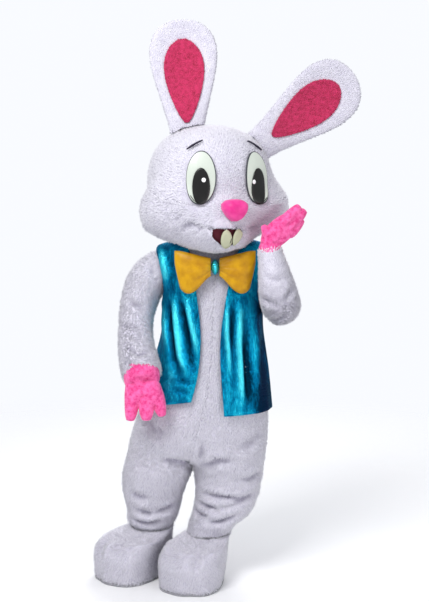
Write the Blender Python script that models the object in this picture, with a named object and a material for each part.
"""Rabbit costume for a person: foam and plush head, jumpsuit, lame vest, bow tie, gloves and feet.

Metres, +Z up, the front faces -Y. Heights in the tables are above the floor. The finished pieces
hang from an empty, so that the world's origin is the point on the shoulders that carries the suit.
"""

import math

import bmesh
import bpy
import numpy as np

# Driving sizes
HELD_HEIGHT = 1.385
SEAM = 0.0003
HALF_SEAM = SEAM / 2
SUIT_WALL = 0.006
HEAD_WALL = 0.012
GLOVE_WALL = 0.003
VEST_WALL = 0.0015
FOOT_WALL = 0.010
SOLE_THICKNESS = 0.008
LINING_GAP = 0.0006
LINING_THICKNESS = 0.002

# Head
HEAD_CENTRE = (-0.012, -0.020, 1.633)
HEAD_TURN = math.radians(20)
FACE_TILT = math.radians(22)
SKULL_RADII = (0.246, 0.252, 0.225)
SKULL_SQUARENESS = 2.35
BLEND_POWER = 20
NECK_HOLE_RADIUS = 0.130
UNDERSIDE_HEIGHT = 1.3909
JAW_DROP = 0.049
CHIN_DROP = 0.016

# Colours, linear
PLUSH_WHITE = (0.80, 0.79, 0.84)
PINK_PLUSH = (0.75, 0.06, 0.17)
GLOVE_PINK = (0.90, 0.15, 0.42)
BOW_YELLOW = (0.75, 0.36, 0.01)
KNOT_TEAL = (0.02, 0.30, 0.35)
VEST_TEAL = (0.02, 0.37, 0.52)
EYE_WHITE = (0.62, 0.68, 0.60)
BLACK = (0.004, 0.004, 0.002)
NOSE_PINK = (0.85, 0.06, 0.30)
MOUTH_RED = (0.10, 0.003, 0.010)
TOOTH_CREAM = (0.60, 0.60, 0.50)


def table(names, rows):
    """A dictionary of columns from rows of numbers."""
    return {name: np.array(values, float) for name, values in zip(names.split(), zip(*rows))}


def smooth(at, known, values):
    """A smooth curve through the values, with no overshoot between them."""
    at = np.clip(np.asarray(at, float), known[0], known[-1])
    steps = np.diff(known)
    rises = np.diff(values) / steps
    slopes = np.zeros(len(values))
    slopes[0], slopes[-1] = rises[0], rises[-1]
    for i in range(1, len(values) - 1):
        before, after = rises[i - 1], rises[i]
        if before * after > 0:
            slopes[i] = 2 * before * after / (before + after)
    cell = np.clip(np.searchsorted(known, at, side="right") - 1, 0, len(steps) - 1)
    t = (at - known[cell]) / steps[cell]
    h = steps[cell]
    return (
        values[cell] * (2 * t**3 - 3 * t**2 + 1)
        + slopes[cell] * h * (t**3 - 2 * t**2 + t)
        + values[cell + 1] * (3 * t**2 - 2 * t**3)
        + slopes[cell + 1] * h * (t**3 - t**2)
    )


def column(rows, name, at):
    return smooth(at, rows["station"], rows[name])


def ease(value, low, high):
    """0 below low, 1 above high, and a soft step between."""
    t = np.clip((np.asarray(value, float) - low) / (high - low), 0, 1)
    return t * t * (3 - 2 * t)


def hump(value, centre, width):
    return np.exp(-(((np.asarray(value, float) - centre) / width) ** 2))


# Suit: a ring for each station from the neck (0) to the ankle (20)
TORSO = table(
    "station height axis half_width front back turn",
    [
        (0, 1.400, 0.012, 0.098, 0.085, 0.095, 0),
        (1, 1.394, 0.012, 0.126, 0.098, 0.105, 0),
        (2, 1.386, 0.011, 0.172, 0.110, 0.112, 0),
        (3, 1.374, 0.010, 0.213, 0.122, 0.124, 0),
        (4, 1.340, 0.009, 0.238, 0.142, 0.140, 0),
        (5, 1.265, 0.008, 0.226, 0.168, 0.155, 0),
        (6, 1.180, 0.006, 0.200, 0.180, 0.162, 0),
        (7, 1.090, 0.004, 0.190, 0.188, 0.165, 0),
        (8, 1.000, 0.002, 0.200, 0.196, 0.167, 0),
        (9, 0.910, -0.004, 0.220, 0.208, 0.172, 0),
        (10, 0.820, -0.014, 0.240, 0.220, 0.182, 0),
        (11, 0.730, -0.028, 0.264, 0.226, 0.196, -2),
        (12, 0.640, -0.044, 0.280, 0.222, 0.206, -5),
        (13, 0.560, -0.058, 0.288, 0.208, 0.204, -8),
        (14, 0.490, -0.068, 0.291, 0.190, 0.192, -10),
        (15, 0.430, -0.078, 0.292, 0.168, 0.172, -12),
    ],
)
LEG = {
    -1: table(
        "station height inner outer centre_y half_depth",
        [
            (13, 0.560, -0.058, -0.352, 0.004, 0.200),
            (14, 0.490, -0.068, -0.366, 0.010, 0.182),
            (15, 0.430, -0.078, -0.377, 0.016, 0.162),
            (16, 0.370, -0.104, -0.381, 0.024, 0.148),
            (17, 0.315, -0.121, -0.373, 0.032, 0.136),
            (18, 0.262, -0.132, -0.362, 0.040, 0.124),
            (19, 0.226, -0.142, -0.364, 0.046, 0.116),
            (20, 0.192, -0.160, -0.352, 0.050, 0.098),
        ],
    ),
    1: table(
        "station height inner outer centre_y half_depth",
        [
            (13, 0.560, -0.058, 0.228, -0.004, 0.200),
            (14, 0.490, -0.068, 0.222, -0.010, 0.182),
            (15, 0.430, -0.078, 0.214, -0.016, 0.162),
            (16, 0.370, -0.070, 0.204, -0.024, 0.150),
            (17, 0.315, -0.076, 0.186, -0.032, 0.140),
            (18, 0.262, -0.086, 0.162, -0.038, 0.128),
            (19, 0.226, -0.102, 0.110, -0.044, 0.110),
            (20, 0.192, -0.106, 0.080, -0.048, 0.096),
        ],
    ),
}
LEG_START, CROTCH, ANKLE = 13.0, 15.0, 20.0
TORSO_SQUARENESS = 2.25

# Largest folds: where a fold crosses, how deep it sinks, how wide it is along and around
SUIT_FOLDS = table(
    "side station around depth along spread slant",
    [
        (-1, 17.4, -95, 0.010, 0.35, 70, 0.006),
        (-1, 18.5, -60, 0.009, 0.28, 80, -0.004),
        (-1, 19.5, -110, 0.008, 0.25, 90, 0.003),
        (1, 17.0, -120, 0.009, 0.35, 70, -0.005),
        (1, 18.5, -40, 0.013, 0.25, 85, 0.004),
        (1, 19.4, -110, 0.008, 0.25, 80, 0.002),
        (-1, 12.2, -140, 0.006, 0.50, 45, 0.010),
        (1, 12.6, -140, 0.006, 0.50, 45, -0.010),
    ],
)


def egg_ring(angle, half_width, front, back, squareness):
    """Points of a rounded section: across, and forward as a negative number."""
    across, deep = np.cos(angle), np.sin(angle)
    length = (np.abs(across) ** squareness + np.abs(deep) ** squareness) ** (-1 / squareness)
    depth = np.where(deep < 0, front, back)
    return half_width * across * length, depth * deep * length


def suit_fold(side, station, around_degrees):
    depth = np.zeros(np.broadcast(station, around_degrees).shape)
    for i in range(len(SUIT_FOLDS["side"])):
        fold = {name: values[i] for name, values in SUIT_FOLDS.items()}
        if fold["side"] == side:
            off = around_degrees - fold["around"]
            line = fold["station"] + fold["slant"] * off
            depth = depth + fold["depth"] * hump(station, line, fold["along"]) * hump(off, 0, fold["spread"])
    return depth


def suit_point(side, station, share, lift=0.0):
    """A point on one half of the suit. share runs from the front edge (0) to the back edge (1)."""
    station, share = np.broadcast_arrays(np.asarray(station, float), np.asarray(share, float))
    angle = np.radians(-90 + 180 * share)
    low = np.minimum(station, TORSO["station"][-1])
    across, deep = egg_ring(
        angle,
        column(TORSO, "half_width", low) + lift,
        column(TORSO, "front", low) + lift,
        column(TORSO, "back", low) + lift,
        TORSO_SQUARENESS,
    )
    turn = np.radians(column(TORSO, "turn", low))
    x = column(TORSO, "axis", low) + side * across * np.cos(turn) - deep * np.sin(turn)
    y = side * across * np.sin(turn) + deep * np.cos(turn)
    z = column(TORSO, "height", low)
    torso = np.stack([x, y, z], axis=-1)
    rows = LEG[side]
    high = np.maximum(station, LEG_START)
    around = -180 + 360 * share
    fold = suit_fold(side, station, around)
    inner, outer = column(rows, "inner", high), column(rows, "outer", high)
    width = np.abs(outer - inner) / 2 + lift
    leg_across, leg_deep = egg_ring(
        np.radians(around), width, column(rows, "half_depth", high) + lift, column(rows, "half_depth", high) + lift, 2.1
    )
    shrink = 1 - fold / np.maximum(width, 0.05)
    leg = np.stack(
        [
            (inner + outer) / 2 + side * leg_across * shrink,
            column(rows, "centre_y", high) + leg_deep * shrink,
            column(rows, "height", high),
        ],
        axis=-1,
    )
    blend = ease(station, LEG_START, CROTCH)[..., None]
    point = torso * (1 - blend) + leg * blend
    point[..., 0] += side * HALF_SEAM
    return point


# Sleeves: a ring for each station from the shoulder to the cuff
SLEEVE = {
    -1: table(
        "station x y z radius",
        [
            (0, -0.150, 0.020, 1.290, 0.070),
            (1, -0.212, 0.018, 1.272, 0.090),
            (2, -0.262, 0.012, 1.232, 0.092),
            (3, -0.290, 0.002, 1.175, 0.086),
            (4, -0.304, -0.012, 1.115, 0.080),
            (5, -0.311, -0.038, 1.055, 0.0765),
            (6, -0.309, -0.092, 0.995, 0.078),
            (7, -0.296, -0.152, 0.940, 0.083),
            (8, -0.280, -0.206, 0.896, 0.0870),
            (9, -0.275, -0.226, 0.876, 0.0830),
        ],
    ),
    1: table(
        "station x y z radius",
        [
            (0, 0.150, 0.030, 1.295, 0.070),
            (1, 0.204, 0.028, 1.275, 0.088),
            (2, 0.243, 0.022, 1.238, 0.090),
            (3, 0.264, 0.004, 1.190, 0.087),
            (4, 0.273, -0.038, 1.153, 0.084),
            (5, 0.275, -0.092, 1.137, 0.084),
            (6, 0.273, -0.150, 1.141, 0.084),
            (7, 0.265, -0.202, 1.168, 0.084),
            (8, 0.254, -0.236, 1.214, 0.079),
            (9, 0.243, -0.250, 1.268, 0.070),
            (10, 0.232, -0.254, 1.320, 0.060),
            (11, 0.224, -0.255, 1.358, 0.053),
            (12, 0.222, -0.254, 1.372, 0.051),
        ],
    ),
}
SLEEVE_FOLDS = table(
    "side station around depth along spread",
    [
        (-1, 3.2, 20, 0.006, 0.40, 70),
        (-1, 4.6, 200, 0.008, 0.35, 80),
        (-1, 6.2, 30, 0.006, 0.35, 70),
        (-1, 7.3, 210, 0.005, 0.30, 70),
        (1, 4.6, 90, 0.010, 0.35, 60),
        (1, 6.4, 95, 0.009, 0.35, 60),
        (1, 8.6, 250, 0.006, 0.40, 70),
        (1, 10.2, 40, 0.004, 0.35, 80),
    ],
)


def sleeve_rings(side, stations, sides, lift=0.0):
    """Rings of points square to the sleeve's own line, turned as little as can be from one to the next."""
    rows = SLEEVE[side]
    centres = np.stack([column(rows, axis, stations) for axis in "xyz"], axis=-1)
    ahead = np.stack([column(rows, axis, stations + 0.05) for axis in "xyz"], axis=-1)
    behind = np.stack([column(rows, axis, stations - 0.05) for axis in "xyz"], axis=-1)
    along = ahead - behind
    along /= np.linalg.norm(along, axis=1, keepdims=True)
    radii = column(rows, "radius", stations) + lift
    angles = np.arange(sides) * 2 * math.pi / sides
    normal = np.array([0.0, -1.0, 0.0])
    rings = []
    for centre, tangent, radius, station in zip(centres, along, radii, stations):
        normal = normal - tangent * np.dot(normal, tangent)
        normal /= np.linalg.norm(normal)
        across = np.cross(tangent, normal)
        sink = np.zeros(sides)
        for i in range(len(SLEEVE_FOLDS["side"])):
            fold = {name: values[i] for name, values in SLEEVE_FOLDS.items()}
            if fold["side"] == side:
                off = (np.degrees(angles) - fold["around"] + 180) % 360 - 180
                sink += fold["depth"] * hump(station, fold["station"], fold["along"]) * hump(off, 0, fold["spread"])
        reach = (radius - sink)[:, None]
        spokes = np.cos(angles)[:, None] * normal + np.sin(angles)[:, None] * across
        rings.append(centre + reach * spokes)
    return np.array(rings)


# Head: one centre, and in each direction the outermost of the skull, cheeks, muzzle and jaw
HEAD_SWELLS = table(
    "x y z wide deep tall",
    [
        (0.150, -0.072, -0.108, 0.172, 0.162, 0.122),
        (-0.140, -0.066, -0.122, 0.182, 0.168, 0.150),
        (0.000, -0.150, -0.125, 0.140, 0.132, 0.088),
        (-0.020, -0.146, -0.205, 0.166, 0.134, 0.124),
    ],
)


def head_reach(directions):
    """How far the head's surface lies from its centre along each direction."""
    directions = np.asarray(directions, float)
    scaled = np.abs(directions / np.array(SKULL_RADII)) ** SKULL_SQUARENESS
    total = (scaled.sum(axis=-1) ** (-1 / SKULL_SQUARENESS)) ** BLEND_POWER
    for i in range(len(HEAD_SWELLS["x"])):
        swell = {name: values[i] for name, values in HEAD_SWELLS.items()}
        radii = np.array([swell["wide"], swell["deep"], swell["tall"]])
        centre = np.array([swell["x"], swell["y"], swell["z"]]) / radii
        ray = directions / radii
        a = (ray**2).sum(axis=-1)
        b = (ray * centre).sum(axis=-1)
        inside = b**2 - a * ((centre**2).sum() - 1)
        reach = np.where(inside > 0, (b + np.sqrt(np.maximum(inside, 0))) / a, 0)
        total = total + np.maximum(reach, 0) ** BLEND_POWER
    reach = total ** (1 / BLEND_POWER)
    forward = directions[..., 0] * math.sin(HEAD_TURN) + directions[..., 1] * math.cos(HEAD_TURN)
    drop = JAW_DROP * ease(-forward * reach, 0.134, 0.176) + CHIN_DROP * ease(-forward * reach, 0.205, 0.235)
    floor = HEAD_CENTRE[2] - UNDERSIDE_HEIGHT + drop
    down = np.maximum(-directions[..., 2], 1e-6)
    limit = np.where(directions[..., 2] < 0, floor / down, 10.0)
    return (reach ** -12 + limit ** -12) ** (-1 / 12)


def head_frame():
    """Unit vectors of the face: out of the nose, to the figure's left, and up."""
    pole = np.array([0.0, -math.cos(FACE_TILT), -math.sin(FACE_TILT)])
    left = np.array([1.0, 0.0, 0.0])
    up = np.array([0.0, -math.sin(FACE_TILT), math.cos(FACE_TILT)])
    return pole, left, up


def place_on_head(local):
    """From the head's own axes to the floor's."""
    c, s = math.cos(HEAD_TURN), math.sin(HEAD_TURN)
    x = local[..., 0] * c - local[..., 1] * s
    y = local[..., 0] * s + local[..., 1] * c
    return np.stack([x, y, local[..., 2]], axis=-1) + np.array(HEAD_CENTRE)


def head_surface(directions, lift=0.0):
    directions = directions / np.linalg.norm(directions, axis=-1, keepdims=True)
    return place_on_head(directions * (head_reach(directions) + lift)[..., None])


def face_directions(away, around):
    """Directions at an angle away from the nose, at a place around it (0 is the figure's left, 90 is up)."""
    away, around = np.broadcast_arrays(away, around)
    pole, left, up = head_frame()
    return (
        np.cos(away)[..., None] * pole
        + (np.sin(away) * np.cos(around))[..., None] * left
        + (np.sin(away) * np.sin(around))[..., None] * up
    )


def front_directions(x, z, depth=-0.24):
    """Directions to places on the face, given across and above the head's centre."""
    x, z = np.broadcast_arrays(np.asarray(x, float), np.asarray(z, float))
    return np.stack([x, np.full(x.shape, depth), z], axis=-1)


# Collections and mesh helpers
def clear_scene():
    for old in list(bpy.data.objects):
        bpy.data.objects.remove(old, do_unlink=True)


def collection(name):
    made = bpy.data.collections.new(name)
    bpy.context.scene.collection.children.link(made)
    return made


def material(name, colour, roughness, metallic=0.0):
    made = bpy.data.materials.new(name)
    made.use_nodes = True
    shader = made.node_tree.nodes["Principled BSDF"]
    shader.inputs["Base Color"].default_value = (*colour, 1.0)
    shader.inputs["Roughness"].default_value = roughness
    shader.inputs["Metallic"].default_value = metallic
    return made


def add_object(name, points, faces, group, look=None):
    mesh = bpy.data.meshes.new(name)
    mesh.from_pydata([tuple(p) for p in points], [], faces)
    mesh.validate()
    piece = bpy.data.objects.new(name, mesh)
    group.objects.link(piece)
    if look:
        mesh.materials.append(material(name + "_finish", *look))
    mesh.shade_smooth()
    mesh.set_sharp_from_angle(angle=math.radians(50))
    return piece


def pull_in_edge(grid, axis, first, last, amount=HALF_SEAM):
    """Moves the first or last line of a grid towards its neighbour, for half of a seam's gap."""
    grid = np.moveaxis(grid.copy(), axis, 0)
    for edge, neighbour, wanted in ((0, 1, first), (-1, -2, last)):
        if wanted:
            step = grid[neighbour] - grid[edge]
            length = np.maximum(np.linalg.norm(step, axis=-1, keepdims=True), 1e-9)
            grid[edge] = grid[edge] + step / length * amount
    return np.moveaxis(grid, 0, axis)


def grid_normals(grid, closed):
    """Outward normals of a grid of points, rows down and columns across."""
    down = np.gradient(grid, axis=0)
    if closed:
        across = (np.roll(grid, -1, axis=1) - np.roll(grid, 1, axis=1)) / 2
    else:
        across = np.gradient(grid, axis=1)
    normals = np.cross(down, across)
    return normals / np.maximum(np.linalg.norm(normals, axis=-1, keepdims=True), 1e-12)


def wall_faces(rows, columns, closed):
    """Faces of a wall: an outer grid, an inner grid and the strips round its open edges."""
    faces = []
    inner = rows * columns

    def at(row, col):
        return row * columns + col % columns

    last = columns if closed else columns - 1
    for row in range(rows - 1):
        for col in range(last):
            a, b, c, d = at(row, col), at(row + 1, col), at(row + 1, col + 1), at(row, col + 1)
            faces += [(a, b, c), (a, c, d)]
            faces += [(inner + a, inner + c, inner + b), (inner + a, inner + d, inner + c)]
    for col in range(last):
        a, b = at(0, col), at(0, col + 1)
        faces.append((a, b, inner + b, inner + a))
        a, b = at(rows - 1, col), at(rows - 1, col + 1)
        faces.append((b, a, inner + a, inner + b))
    if not closed:
        for row in range(rows - 1):
            a, b = at(row, 0), at(row + 1, 0)
            faces.append((b, a, inner + a, inner + b))
            a, b = at(row, columns - 1), at(row + 1, columns - 1)
            faces.append((a, b, inner + b, inner + a))
    return faces


def point_outwards(piece):
    """Turns a closed mesh so that its faces point out."""
    work = bmesh.new()
    work.from_mesh(piece.data)
    bmesh.ops.recalc_face_normals(work, faces=work.faces)
    if work.calc_volume(signed=True) < 0:
        bmesh.ops.reverse_faces(work, faces=work.faces)
    work.to_mesh(piece.data)
    work.free()


def wall(name, outer, inner, closed, group, look=None):
    rows, columns = outer.shape[:2]
    points = np.concatenate([outer.reshape(-1, 3), inner.reshape(-1, 3)])
    piece = add_object(name, points, wall_faces(rows, columns, closed), group, look)
    point_outwards(piece)
    return piece


def solid_rings(name, rings, group, look=None, first_tip=None, last_tip=None):
    """A closed solid through rings of points, with a fan at each end."""
    rings = np.asarray(rings)
    count, sides = rings.shape[:2]
    points = list(rings.reshape(-1, 3))
    faces = []
    for row in range(count - 1):
        for col in range(sides):
            a, b = row * sides + col, row * sides + (col + 1) % sides
            faces += [(a, a + sides, b + sides), (a, b + sides, b)]
    ends = ((0, first_tip, rings[0].mean(axis=0)), (count - 1, last_tip, rings[-1].mean(axis=0)))
    for row, tip, middle in ends:
        points.append(middle if tip is None else np.asarray(tip))
        for col in range(sides):
            a, b = row * sides + col, row * sides + (col + 1) % sides
            faces.append((a, b, len(points) - 1) if row == 0 else (b, a, len(points) - 1))
    piece = add_object(name, points, faces, group, look)
    point_outwards(piece)
    return piece


def cut(piece, cutter, operation="DIFFERENCE"):
    """Applies a boolean, so that the piece is one finished mesh."""
    step = piece.modifiers.new("cut", "BOOLEAN")
    step.operation = operation
    step.object = cutter
    step.solver = "EXACT"
    bpy.context.view_layer.update()
    ready = piece.evaluated_get(bpy.context.evaluated_depsgraph_get())
    mesh = bpy.data.meshes.new_from_object(ready)
    piece.modifiers.clear()
    old = piece.data
    piece.data = mesh
    bpy.data.meshes.remove(old)
    keep_largest(piece)


def keep_largest(piece):
    """Drops the crumbs that a cut can leave, and joins points that lie on each other."""
    work = bmesh.new()
    work.from_mesh(piece.data)
    bmesh.ops.remove_doubles(work, verts=work.verts, dist=0.000002)
    left = set(work.verts)
    islands = []
    while left:
        seed = left.pop()
        island, front = {seed}, [seed]
        while front:
            point = front.pop()
            for edge in point.link_edges:
                other = edge.other_vert(point)
                if other not in island:
                    island.add(other)
                    front.append(other)
        left -= island
        islands.append(island)
    largest = max(islands, key=len)
    extra = [v for island in islands if island is not largest for v in island]
    bmesh.ops.delete(work, geom=extra, context="VERTS")
    work.to_mesh(piece.data)
    work.free()


def as_cutter(piece):
    piece.hide_render = True
    piece.display_type = "WIRE"
    return piece


# Suit pieces
PANEL_COLUMNS = 7
SUIT_STATIONS = np.concatenate([np.linspace(0, 4, 5), np.linspace(5.3, 13, 7), np.linspace(13.6, 20, 11)])
SLEEVE_SIDES = 12
SLEEVE_ENDS = {1: 12.0, -1: 9.0}
SLEEVE_ROWS = {1: 17, -1: 13}
SUIT_LOOK = (PLUSH_WHITE, 0.95)


def sleeve_stations(side):
    return np.linspace(0.4, SLEEVE_ENDS[side], SLEEVE_ROWS[side])


def torso_cutter(group, lift):
    """A closed solid of the torso's outside, down to the hips."""
    stations = SUIT_STATIONS[SUIT_STATIONS <= 13]
    share = np.linspace(0, 1, 2 * PANEL_COLUMNS - 1)
    rings = []
    for station in stations:
        left = suit_point(1, station, share, lift)
        right = suit_point(-1, station, share, lift)
        rings.append(np.concatenate([left[:-1], right[::-1][:-1]]))
    return as_cutter(solid_rings("torso_cutter", rings, group))


def sleeve_cutter(name, side, group, lift, last=5.6):
    """The sleeve's closed outside, at its own points, for the armhole."""
    stations = sleeve_stations(side)
    stations = np.concatenate([[0.0], stations[stations <= last]])
    return as_cutter(solid_rings(name, sleeve_rings(side, stations, SLEEVE_SIDES, lift), group))


def build_suit(parts, cutters):
    stations = SUIT_STATIONS
    step = 0.5 / (PANEL_COLUMNS - 1)
    pieces = {}
    for side, side_name in ((1, "left"), (-1, "right")):
        for first, last, face_name in ((0.0, 0.5, "front"), (0.5, 1.0, "back")):
            share = np.linspace(first, last, PANEL_COLUMNS)
            outer = suit_point(side, stations[:, None], share[None, :])
            wide = suit_point(side, stations[:, None], np.array([first - step, last + step])[None, :])
            padded = np.concatenate([wide[:, :1], outer, wide[:, 1:]], axis=1)
            normals = grid_normals(padded, False)[:, 1:-1]
            middle = suit_point(side, stations[:, None], np.linspace(0, 1, 9)[None, :]).mean(axis=1)[:, None]
            flip = np.sign(((outer - middle) * normals).sum(axis=-1).mean())
            outer = pull_in_edge(outer, 1, True, True)
            inner = outer - flip * normals * SUIT_WALL
            inner[-1, :, 2] = outer[-1, :, 2]
            name = f"suit_{face_name}_{side_name}"
            pieces[name] = wall(name, outer[:, ::side], inner[:, ::side], False, parts, SUIT_LOOK)
    return pieces


def build_sleeves(parts, cutters):
    pieces = {}
    for side, name in ((1, "sleeve_left"), (-1, "sleeve_right")):
        outer = sleeve_rings(side, sleeve_stations(side), SLEEVE_SIDES)
        inner = sleeve_rings(side, sleeve_stations(side), SLEEVE_SIDES, -SUIT_WALL)
        pieces[name] = wall(name, outer, inner, True, parts, SUIT_LOOK)
    return pieces


# Vest: on the suit's own points, moved out
VEST_LIFT = 0.0098
VEST_TOP, VEST_HEM = 1.25, 11.2
HEM_RISE = {1: 0.0, -1: 0.62}
SHOULDER_RISE = 0.005
RAISED_ARM_EASE = 0.003
SEAT_STATION, SEAT_RISE = 2.0, 0.0023
ARMHOLE_HEIGHT, ARMHOLE_HALF_HEIGHT = 1.255, 0.113
ARMHOLE_FRONT, ARMHOLE_BACK = 0.088, 0.122
VEST_STATIONS = np.array([VEST_TOP, 2, 2.9, 3.3, 3.7, 4.2, 4.8, 5.4, 6.0, 6.4, 7.2, 8.2, 9.2, 10.2, VEST_HEM])
VEST_LOOK = (VEST_TEAL, 0.30, 0.8)
VEST_FOLDS = table(
    "place width height slant",
    [
        (0.090, 0.026, 0.009, 0.003),
        (0.180, 0.028, 0.008, -0.003),
        (0.275, 0.032, 0.010, 0.003),
        (0.375, 0.028, 0.006, -0.002),
        (0.460, 0.030, 0.007, 0.002),
        (0.580, 0.036, 0.008, 0.002),
        (0.700, 0.034, 0.009, -0.003),
        (0.820, 0.036, 0.008, 0.002),
        (0.930, 0.034, 0.008, -0.002),
    ],
)


def vest_lift(station, share):
    """How far the vest stands off the suit: folds that grow towards the hem."""
    grow = 0.35 + 0.65 * ease(station, 3, 9)
    lift = np.full(np.broadcast(station, share).shape, VEST_LIFT)
    for i in range(len(VEST_FOLDS["place"])):
        fold = {name: values[i] for name, values in VEST_FOLDS.items()}
        line = fold["place"] + fold["slant"] * (station - 6)
        lift = lift + fold["height"] * grow * hump(share, line, fold["width"])
    return lift


def vest_point(side, station, share):
    station, share = np.broadcast_arrays(np.asarray(station, float), np.asarray(share, float))
    seat = hump(station, SEAT_STATION, 0.6) * hump(share, 0.5, 0.10)
    points = suit_point(side, station, share, vest_lift(station, share) * (1 - seat))
    points[..., 2] += SHOULDER_RISE * (1 - ease(station, 2, 5)) * (1 - seat) + SEAT_RISE * seat
    return points


def armhole(station, depth_name, reach):
    """How far the armhole's edge lies from the side seam, as a share of the half."""
    off = (column(TORSO, "height", station) - ARMHOLE_HEIGHT) / ARMHOLE_HALF_HEIGHT
    wide = reach * np.sqrt(np.maximum(1 - off**2, 0))
    return np.degrees(np.arcsin(np.clip(wide / column(TORSO, depth_name, station), 0, 0.9))) / 180


def front_edge(side, station):
    """Where the vest's front edge lies, as a share of the half from the centre front."""
    gap = table(
        "station left right",
        [
            (1.25, 0.118, 0.112),
            (3.0, 0.100, 0.100),
            (4.5, 0.072, 0.080),
            (6.0, 0.046, 0.060),
            (8.0, 0.028, 0.043),
            (9.5, 0.040, 0.044),
            (11.2, 0.082, 0.056),
        ],
    )
    across = column(gap, "left" if side > 0 else "right", station)
    width = column(TORSO, "half_width", station)
    return np.degrees(np.arcsin(np.clip(across / width, 0, 0.85))) / 180


def build_vest(parts):
    pieces = {}
    stations = VEST_STATIONS
    rows = stations[:, None]
    t = np.linspace(0, 1, 10)[None, :]
    for side, name in ((1, "vest_front_left"), (-1, "vest_front_right")):
        start = front_edge(side, stations)[:, None]
        end = 0.5 - armhole(rows, "front", ARMHOLE_FRONT)
        raised = rows - HEM_RISE[side] * ease(rows, 6.4, VEST_HEM) * (1 - t)
        outer = vest_point(side, raised, start + (end - start) * t)
        pieces[name] = thin_wall(name, outer, (False, True), parts)
    start = 0.5 + armhole(rows, "back", ARMHOLE_BACK)
    share = start + (1 - start) * t
    left = vest_point(1, rows, share)
    right = vest_point(-1, rows, share)[:, ::-1][:, 1:]
    back = np.concatenate([left, right], axis=1)
    pieces["vest_back"] = thin_wall("vest_back", back, (True, True), parts)
    return pieces


def thin_wall(name, outer, trims, parts):
    normals = grid_normals(outer, False)
    middle = np.array([0.0, 0.0])
    flip = np.sign(((outer[..., :2] - middle) * normals[..., :2]).sum(axis=-1).mean())
    outer = pull_in_edge(outer, 1, *trims)
    inner = outer - flip * normals * VEST_WALL
    return wall(name, outer, inner, False, parts, VEST_LOOK)


# Head pieces
FACE_AWAY = np.radians(np.linspace(3, 104, 12))
BACK_AWAY = np.radians(np.linspace(104, 168, 6))
AROUND = np.radians(np.arange(0, 360, 15.0))
EYE_HEIGHT = 0.018
EYE_ACROSS = 0.127
EYE_HALF_WIDTH = 0.069
EYE_HALF_HEIGHT = 0.112
EYE_LIFT = 0.005
BROW_ACROSS, BROW_RISE = 0.165, 0.164
MOUTH_CENTRE = (-0.024, -0.196)
MOUTH_HALF_WIDTH = 0.069
MOUTH_DEPTH = 0.064
TEETH_ACROSS = 0.022
TEETH_DROP = 0.006


def head_panel(name, around, parts):
    """A half of the face, from the nose to the seam with the back of the head."""
    directions = face_directions(FACE_AWAY[:, None], around[None, :])
    layers = []
    for lift in (0.0, -HEAD_WALL):
        layer = pull_in_edge(head_surface(directions, lift), 1, True, True)
        layers.append(pull_in_edge(layer, 0, False, True))
    return wall(name, *layers, False, parts, SUIT_LOOK)


def head_back(parts):
    """A bowl: its outside from the pole to the seam, and its inside back again."""
    directions = face_directions(BACK_AWAY[:, None], AROUND[None, :])
    pole = -head_frame()[0][None, :]
    outer = pull_in_edge(head_surface(directions), 0, True, False)
    inner = pull_in_edge(head_surface(directions, -HEAD_WALL), 0, True, False)
    tips = [head_surface(pole)[0], head_surface(pole, -HEAD_WALL)[0]]
    rings = np.concatenate([outer[::-1], inner])[:, ::-1]
    return solid_rings("head_back", rings, parts, SUIT_LOOK, *tips)


def head_cutter(group, lift):
    """The head's closed outside, at the panels' own points."""
    away = np.concatenate([FACE_AWAY, BACK_AWAY[1:]])
    rings = head_surface(face_directions(away[:, None], AROUND[None, :]), lift)
    pole = head_frame()[0]
    tips = [head_surface(np.array([d]), lift)[0] for d in (pole, -pole)]
    return as_cutter(solid_rings("head_cutter", rings, group, None, *tips))


def outline_prism(name, outline, near, far, group):
    """An upright outline on the face, as a prism that runs through the face's wall."""
    rings = []
    for depth in (near, far):
        local = np.stack([outline[:, 0], np.full(len(outline), depth), outline[:, 1]], axis=-1)
        rings.append(place_on_head(local))
    return as_cutter(solid_rings(name, rings, group))


def mouth_outline(grow=0.0):
    """A smiling mouth: a shallow upper lip and a round lower lip."""
    angles = np.radians(np.arange(0, 360, 22.5))
    x = (MOUTH_HALF_WIDTH + grow) * np.cos(angles)
    bend = 0.010 * (x / MOUTH_HALF_WIDTH) ** 2
    z = np.where(np.sin(angles) > 0, 0.012 + grow, MOUTH_DEPTH + grow) * np.sin(angles) + bend
    return np.stack([MOUTH_CENTRE[0] + x, MOUTH_CENTRE[1] + z], axis=-1)


def patch_on_head(name, centre, size, lifts, rings, sides, group, look=None, squeeze=0.0, tilt=0.0):
    """A rounded patch made from the head's own points, moved out from a low to a high lift."""
    angles = np.arange(sides) * 2 * math.pi / sides
    c, s = math.cos(math.radians(tilt)), math.sin(math.radians(tilt))
    shares = np.linspace(0, 1, rings + 1)[1:]
    narrow = 1 - squeeze * np.sin(angles)
    low, high = lifts
    layers = []
    for lift, order in ((high, shares), (low, shares[::-1])):
        for share in order:
            flat = size[0] * share * np.cos(angles) * narrow
            tall = size[1] * share * np.sin(angles)
            directions = front_directions(centre[0] + flat * c - tall * s, centre[1] + flat * s + tall * c)
            layers.append(head_surface(directions, lift))
    middle = front_directions(np.array([centre[0]]), np.array([centre[1]]))
    tips = [head_surface(middle, lift)[0] for lift in (high, low)]
    return solid_rings(name, layers, group, look, *tips)


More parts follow.
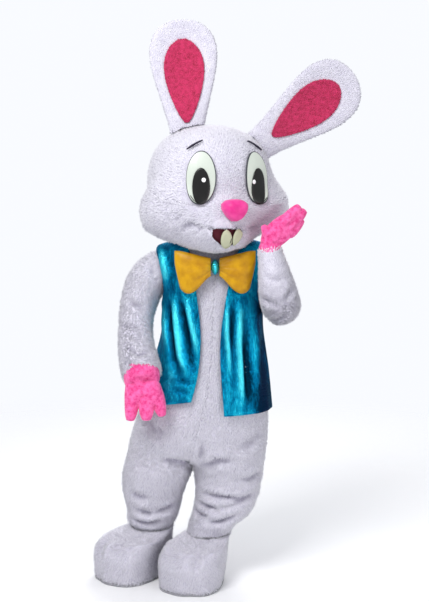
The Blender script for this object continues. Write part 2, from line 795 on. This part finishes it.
def build_head(parts, cutters, head):
    head_panel("head_face", np.radians(np.linspace(0, 180, 13)), parts)
    cheeks = head_panel("head_cheeks", np.radians(np.linspace(180, 360, 13)), parts)
    head_back(parts)
    neck = np.array([HEAD_CENTRE[0], HEAD_CENTRE[1] + 0.012])
    angles = np.arange(24) * math.pi / 12
    rings = []
    for height in (1.30, 1.48):
        x = neck[0] + NECK_HOLE_RADIUS * np.cos(angles)
        y = neck[1] + NECK_HOLE_RADIUS * np.sin(angles)
        rings.append(np.stack([x, y, np.full(24, height)], axis=-1))
    hole = as_cutter(solid_rings("neck_cutter", rings, cutters))
    cut(cheeks, hole)
    cut(cheeks, outline_prism("mouth_cutter", mouth_outline(), -0.40, -0.12, cutters))
    build_mouth(parts, cutters)
    build_eyes(parts, cutters, head)


def build_mouth(parts, cutters):
    """A dark lining behind the mouth, laid on the inside of the wall, and two teeth."""
    around = np.radians(np.arange(210, 316, 15.0))
    directions = face_directions(FACE_AWAY[1:5, None], around[None, :])
    back = -HEAD_WALL - LINING_GAP
    layers = [head_surface(directions, lift) for lift in (back, back - LINING_THICKNESS)]
    wall("mouth_lining", *layers, False, parts, (MOUTH_RED, 0.8))
    for side, name in ((1, "tooth_left"), (-1, "tooth_right")):
        x = MOUTH_CENTRE[0] + TEETH_ACROSS + side * (0.0215 + HALF_SEAM)
        spot = (x, MOUTH_CENTRE[1] - TEETH_DROP)
        tooth = patch_on_head(name, spot, (0.0213, 0.040), (-0.0100, -0.0035), 1, 12, parts, (TOOTH_CREAM, 0.5))
        cut(tooth, outline_prism(name + "_cutter", mouth_outline(-0.0006), -0.40, -0.12, cutters), "INTERSECT")


def build_eyes(parts, cutters, head):
    """Eye whites seated on the face, pupils seated on the whites, and thin brows."""
    for side, name in ((1, "left"), (-1, "right")):
        spot, size = (side * EYE_ACROSS, EYE_HEIGHT), (EYE_HALF_WIDTH, EYE_HALF_HEIGHT)
        seat = as_cutter(
            patch_on_head(f"eye_seat_{name}", spot, size, (-0.008, EYE_LIFT + SEAM), 3, 18, cutters, None, 0.06)
        )
        look = (EYE_WHITE, 0.35)
        white = patch_on_head(f"eye_white_{name}", spot, size, (-0.003, EYE_LIFT), 3, 18, parts, look, 0.06)
        cut(white, head)
        spot = (side * (EYE_ACROSS - 0.006), EYE_HEIGHT - 0.038)
        look = (BLACK, 0.25)
        pupil = patch_on_head(f"pupil_{name}", spot, (0.039, 0.071), (0.002, 0.0085), 2, 16, parts, look, 0.05)
        cut(pupil, seat)
        spot = (side * BROW_ACROSS, EYE_HEIGHT + BROW_RISE)
        look = (BLACK, 0.8)
        brow = patch_on_head(
            f"brow_{name}", spot, (0.050, 0.0058), (-0.003, 0.004), 1, 12, parts, look, 0.0, -side * 23
        )
        cut(brow, head)


def build_nose(parts, head):
    """A round-cornered triangle of foam, seated on the muzzle."""
    sides = 14
    angles = np.arange(sides) * 2 * math.pi / sides
    corner = 1 + 0.10 * np.cos(3 * (angles + math.pi / 2))
    rings = []
    for depth, size in ((-0.24, 0.86), (-0.29, 1.0), (-0.312, 0.95), (-0.327, 0.74), (-0.335, 0.38)):
        x = 0.051 * size * corner * np.cos(angles)
        z = -0.108 + 0.044 * size * corner * np.sin(angles)
        rings.append(place_on_head(np.stack([x, np.full(sides, depth), z], axis=-1)))
    nose = solid_rings("nose", rings, parts, (NOSE_PINK, 0.4))
    cut(nose, head)


# Ears: a padded paddle along its own axis, with a pink panel on its front
EAR = table(
    "station half_width thickness dish",
    [
        (0.00, 0.062, 0.030, 0.000),
        (0.12, 0.072, 0.033, 0.003),
        (0.28, 0.092, 0.034, 0.010),
        (0.45, 0.114, 0.034, 0.016),
        (0.60, 0.132, 0.034, 0.018),
        (0.72, 0.138, 0.033, 0.018),
        (0.82, 0.131, 0.031, 0.016),
        (0.90, 0.112, 0.028, 0.012),
        (0.96, 0.080, 0.022, 0.006),
        (0.99, 0.042, 0.014, 0.002),
    ],
)
EARS = {
    "right": ((-0.098, -0.045, 1.796), (-0.022, 0.010, 0.470), 4, 0.475),
    "left": ((0.186, 0.020, 1.775), (0.372, 0.030, 0.276), 10, 0.488),
}


PANEL_STATION, PANEL_REACH = 0.490, 0.355


def ear_frame(name):
    root, aim, turn, length = EARS[name]
    along = np.array(aim) / np.linalg.norm(aim)
    front = np.array([math.sin(math.radians(turn)), -math.cos(math.radians(turn)), 0.0])
    front = front - along * np.dot(front, along)
    front /= np.linalg.norm(front)
    return np.array(root), along * length, np.cross(along, front), front


def ear_front(name, station, across, lift=0.0):
    """A point on the ear's front. across runs from -1 to 1 over its width."""
    root, along, side, front = ear_frame(name)
    station, across = np.broadcast_arrays(np.asarray(station, float), np.asarray(across, float))
    width = column(EAR, "half_width", station)
    swell = column(EAR, "thickness", station) * np.sqrt(np.maximum(1 - across**2, 0))
    dish = column(EAR, "dish", station) * (1 - across**2) * 2.0
    out = swell - dish + lift
    return (
        root
        + station[..., None] * along
        + (width * across)[..., None] * side
        + out[..., None] * front
    )


def build_ears(parts, head):
    angles = np.arange(16) * math.pi / 8
    stations = np.array([-0.08, 0.12, 0.26, 0.40, 0.54, 0.66, 0.76, 0.85, 0.92, 0.965, 0.99])
    for name in EARS:
        root, along, side, front = ear_frame(name)
        rings = []
        for station in stations:
            width = column(EAR, "half_width", station)
            thick = column(EAR, "thickness", station)
            across = np.cos(angles)
            dish = column(EAR, "dish", station) * (1 - across**2) * 2.0
            out = thick * np.sin(angles) - dish * np.where(np.sin(angles) > 0, 1.0, 0.6)
            spot = root + station * along
            rings.append(spot + (width * across)[:, None] * side + out[:, None] * front)
        ear = solid_rings(f"ear_{name}", rings, parts, SUIT_LOOK, None, root + along)
        cut(ear, head)
        layers = []
        turns = np.arange(18) * math.pi / 9
        for lift, shares in ((0.0035, (0.34, 0.67, 1.0)), (0.0014, (1.0, 0.67, 0.34))):
            for share in shares:
                station = PANEL_STATION + PANEL_REACH * share * np.sin(turns)
                narrow = 0.64 + 0.06 * np.sin(turns)
                layers.append(ear_front(name, station, narrow * share * np.cos(turns), lift))
        tips = [ear_front(name, PANEL_STATION, 0.0, lift) for lift in (0.0035, 0.0014)]
        solid_rings(f"inner_ear_{name}", layers, parts, (PINK_PLUSH, 0.9), *tips)


# Feet: a hollow plush upper that starts at the trouser's hem, on a flat sole
FOOT = {
    -1: ("right", (-0.325, -0.027), math.radians(-42)),
    1: ("left", (-0.072, -0.128), math.radians(-18)),
}
FOOT_HALF_LENGTH = 0.186
FOOT_HALF_WIDTH = 0.134
SADDLE = 0.020
TOE_CREASES = (-20.0, 20.0)
FOOT_SIDES = 4 * (PANEL_COLUMNS - 1)
FOOT_TUCK = 0.014


def ankle_ring(side, wall_in):
    """The trouser's hem, at its own points, moved in by the wall."""
    hem = suit_point(side, ANKLE, np.linspace(0, 1, FOOT_SIDES + 1)[:-1])
    middle = hem[:, :2].mean(axis=0)
    flat = hem[:, :2] - middle
    length = np.linalg.norm(flat, axis=1, keepdims=True)
    return middle + flat * (length - wall_in) / length, hem[0, 2], np.arctan2(flat[:, 1], flat[:, 0])


def foot_angles(side):
    """For each point of the ankle, where it lies round the foot. 0 is the toe end."""
    bearings = ankle_ring(side, 0.0)[2]
    return (bearings - FOOT[side][2] + math.pi / 2 + math.pi) % (2 * math.pi) - math.pi


def foot_outline(side, grow):
    """The foot seen from above: three toes at the front, a round heel."""
    name, centre, turn = FOOT[side]
    angles = foot_angles(side)
    along = np.cos(angles)
    length = (np.abs(along) ** 2.5 + np.abs(np.sin(angles)) ** 2.5) ** (-1 / 2.5)
    crease = sum(hump(np.degrees(angles), toe, 8.0) for toe in TOE_CREASES)
    reach = length * (1 - 0.09 * crease)
    forward = (FOOT_HALF_LENGTH + grow) * along * reach
    wide = (FOOT_HALF_WIDTH + grow) * (1 + 0.18 * along) * np.sin(angles) * reach
    ahead = np.array([math.sin(turn), -math.cos(turn)])
    beside = np.array([math.cos(turn), math.sin(turn)])
    return np.array(centre) + forward[:, None] * ahead + wide[:, None] * beside, crease


def foot_grid(side, wall_in):
    """Rows of points from the sole's edge up over the toes to the ankle."""
    outline, crease = foot_outline(side, -wall_in)
    rim, rim_height, _ = ankle_ring(side, wall_in)
    rim_height = rim_height - SEAM
    base = SOLE_THICKNESS + SEAM
    toe = (np.cos(foot_angles(side)) + 1) / 2
    away = outline - outline.mean(axis=0)
    away = away / np.linalg.norm(away, axis=1, keepdims=True)
    rows = []
    for t in (0.0, 0.12, 0.26, 0.42, 0.60, 0.80, 1.0):
        inward = 1 - np.cos(t * math.pi / 2) ** (0.85 - 0.22 * toe)
        rise = np.sin(t * math.pi / 2) ** (0.95 - 0.42 * toe)
        tuck = FOOT_TUCK * (1 - ease(t, 0.0, 0.24))
        flat = outline * (1 - inward)[:, None] + rim * inward[:, None] - away * tuck
        under = wall_in * math.sin(t * math.pi) ** 0.5 if 0 < t < 1 else 0.0
        dip = 0.026 * crease * hump(t, 0.40, 0.30)
        saddle = SADDLE * toe * hump(t, 0.84, 0.12)
        height = base + (rim_height - base) * rise - under - dip - saddle
        rows.append(np.column_stack([flat, np.maximum(height, base)]))
    return np.array(rows)


def build_feet(parts):
    for side in (1, -1):
        name = FOOT[side][0]
        outer, inner = foot_grid(side, 0.0), foot_grid(side, FOOT_WALL)
        wall(f"foot_{name}", outer, inner, True, parts, SUIT_LOOK)
        outline = foot_outline(side, -FOOT_TUCK - 0.001)[0]
        rings = [np.column_stack([outline, np.full(FOOT_SIDES, height)]) for height in (0.0, SOLE_THICKNESS)]
        solid_rings(f"sole_{name}", rings, parts, ((0.35, 0.35, 0.37), 0.9))


# Gloves: a hollow hand from a wrist that fits the sleeve's cuff, and rounded bones
GLOVE = {
    -1: (
        "right",
        table(
            "x0 y0 z0 x1 y1 z1 r0 r1",
            [
                (-0.294, -0.236, 0.826, -0.300, -0.238, 0.800, 0.050, 0.050),
                (-0.242, -0.240, 0.826, -0.234, -0.242, 0.800, 0.050, 0.050),
                (-0.312, -0.242, 0.790, -0.318, -0.252, 0.722, 0.032, 0.028),
                (-0.258, -0.248, 0.785, -0.256, -0.262, 0.728, 0.035, 0.031),
                (-0.211, -0.244, 0.790, -0.199, -0.254, 0.738, 0.031, 0.026),
                (-0.290, -0.205, 0.815, -0.292, -0.190, 0.770, 0.028, 0.024),
            ],
        ),
    ),
    1: (
        "left",
        table(
            "x0 y0 z0 x1 y1 z1 r0 r1",
            [
                (0.225, -0.258, 1.418, 0.264, -0.254, 1.466, 0.042, 0.039),
                (0.260, -0.252, 1.414, 0.292, -0.245, 1.450, 0.033, 0.033),
                (0.272, -0.256, 1.472, 0.324, -0.244, 1.524, 0.027, 0.023),
                (0.302, -0.246, 1.464, 0.347, -0.232, 1.508, 0.025, 0.022),
                (0.308, -0.238, 1.434, 0.340, -0.224, 1.472, 0.024, 0.020),
                (0.217, -0.268, 1.418, 0.201, -0.276, 1.452, 0.022, 0.017),
            ],
        ),
    ),
}
WRIST_REACH = {-1: 0.040, 1: 0.034}


def wrist(name, side, shrink, group, stretch):
    """The glove's open wrist: rings just inside the cuff's own points, carried on past its end."""
    rings = list(sleeve_rings(side, sleeve_stations(side), SLEEVE_SIDES, -SUIT_WALL - 2 * SEAM - shrink)[-2:])
    along = rings[1].mean(axis=0) - rings[0].mean(axis=0)
    along /= np.linalg.norm(along)
    rings[0] = rings[1] - along * (0.018 + stretch)
    middle = rings[1].mean(axis=0)
    for ahead, size in ((0.45, 1.0), (1.0, 0.72)):
        rings.append(middle + (rings[1] - middle) * size + along * (WRIST_REACH[side] - shrink) * ahead)
    return solid_rings(name, rings, group)


def bone(name, rows, i, shrink, group):
    """A rounded capsule between two points, with its own radius at each end."""
    start = np.array([rows["x0"][i], rows["y0"][i], rows["z0"][i]])
    end = np.array([rows["x1"][i], rows["y1"][i], rows["z1"][i]])
    along = end - start
    along /= np.linalg.norm(along)
    r0, r1 = rows["r0"][i] - shrink, rows["r1"][i] - shrink
    side = np.cross(along, np.array([0.0, 1.0, 0.0]))
    side /= np.linalg.norm(side)
    up = np.cross(along, side)
    angles = (np.arange(8) + 0.5) * math.pi / 4
    spokes = np.cos(angles)[:, None] * side + np.sin(angles)[:, None] * up
    rings = []
    for end_point, radius, lats in ((start, r0, (-50.0, 0.0)), (end, r1, (0.0, 50.0))):
        for lat in np.radians(lats):
            rings.append(end_point + along * radius * math.sin(lat) + spokes * radius * math.cos(lat))
    return solid_rings(name, rings, group, None, start - along * r0, end + along * r1)


def build_glove(side, parts, cutters):
    name, rows = GLOVE[side]
    shells = []
    for layer, shrink, stretch in (("outside", 0.0, 0.0), ("inside", GLOVE_WALL, 0.02)):
        whole = wrist(f"glove_{name}_{layer}", side, shrink, cutters, stretch)
        for i in range(len(rows["x0"])):
            cut(whole, as_cutter(bone(f"bone_{name}_{i}_{layer}", rows, i, shrink, cutters)), "UNION")
        shells.append(whole)
    outside, inside = shells
    cut(outside, as_cutter(inside))
    outside.name = f"glove_{name}"
    outside.data.materials.clear()
    outside.data.materials.append(material(f"glove_{name}_finish", GLOVE_PINK, 0.85))
    cutters.objects.unlink(outside)
    parts.objects.link(outside)
    return outside


# Bow tie
BOW_CENTRE = (0.012, -0.204, 1.298)
WING = table(
    "station reach height thickness drop",
    [
        (0.00, 0.008, 0.036, 0.012, 0.000),
        (0.15, 0.026, 0.044, 0.018, -0.002),
        (0.35, 0.058, 0.068, 0.024, -0.018),
        (0.55, 0.090, 0.082, 0.026, -0.022),
        (0.75, 0.116, 0.083, 0.024, -0.015),
        (0.90, 0.136, 0.069, 0.018, 0.002),
        (1.00, 0.150, 0.026, 0.008, 0.044),
    ],
)


def build_bow(parts, torso):
    cx, cy, cz = BOW_CENTRE
    angles = np.arange(18) * math.pi / 9
    for side, name in ((1, "left"), (-1, "right")):
        rings = []
        for station in np.linspace(0, 1, 8):
            reach = column(WING, "reach", station)
            tall = column(WING, "height", station)
            thick = column(WING, "thickness", station)
            up = np.sin(angles)
            pleats = 1 + 0.16 * np.cos(5 * up * math.pi / 2) * (1 - 0.5 * station)
            x = cx + side * (0.0088 + reach)
            z = cz + tall * up + column(WING, "drop", station) - 0.006 * station
            bulge = np.where(np.cos(angles) > 0, 1.0, 0.45) * np.cos(angles)
            y = cy - thick * bulge * pleats + 0.012 * station**2
            rings.append(np.stack([np.broadcast_to(x, z.shape), y, z], axis=-1))
        solid_rings(f"bow_wing_{name}", rings, parts, (BOW_YELLOW, 0.6))
    rings = []
    for turn in np.linspace(-80, 80, 7):
        lat = math.radians(turn)
        x = cx + 0.0165 * math.cos(lat) * np.cos(angles)
        y = cy + 0.012 + 0.050 * math.cos(lat) * np.sin(angles)
        rings.append(np.stack([x, y, np.full(18, cz + 0.031 * math.sin(lat))], axis=-1))
    knot = solid_rings("bow_knot", rings, parts, (KNOT_TEAL, 0.3, 0.8))
    cut(knot, torso)


def build():
    clear_scene()
    parts = collection("rabbit_costume")
    cutters = collection("cutters")
    suit = build_suit(parts, cutters)
    sleeves = build_sleeves(parts, cutters)
    vest = build_vest(parts)
    torso = torso_cutter(cutters, SEAM)
    for side, name in ((1, "left"), (-1, "right")):
        hole = sleeve_cutter(f"armhole_cutter_{name}", side, cutters, SEAM)
        cut(suit[f"suit_front_{name}"], hole)
        cut(suit[f"suit_back_{name}"], hole)
        cut(sleeves[f"sleeve_{name}"], torso)
    raised_arm = sleeve_cutter("raised_arm_cutter", 1, cutters, RAISED_ARM_EASE, 7.0)
    cut(vest["vest_front_left"], raised_arm)
    cut(vest["vest_back"], raised_arm)
    head = head_cutter(cutters, SEAM)
    build_head(parts, cutters, head)
    build_nose(parts, head)
    build_ears(parts, head)
    build_feet(parts)
    for side in (1, -1):
        build_glove(side, parts, cutters)
    build_bow(parts, torso)
    floor = bpy.data.objects.new("floor_point", None)
    parts.objects.link(floor)
    floor.location = (0.0, 0.0, -HELD_HEIGHT)
    for piece in parts.objects:
        if piece.type == "MESH":
            piece.parent = floor


build()
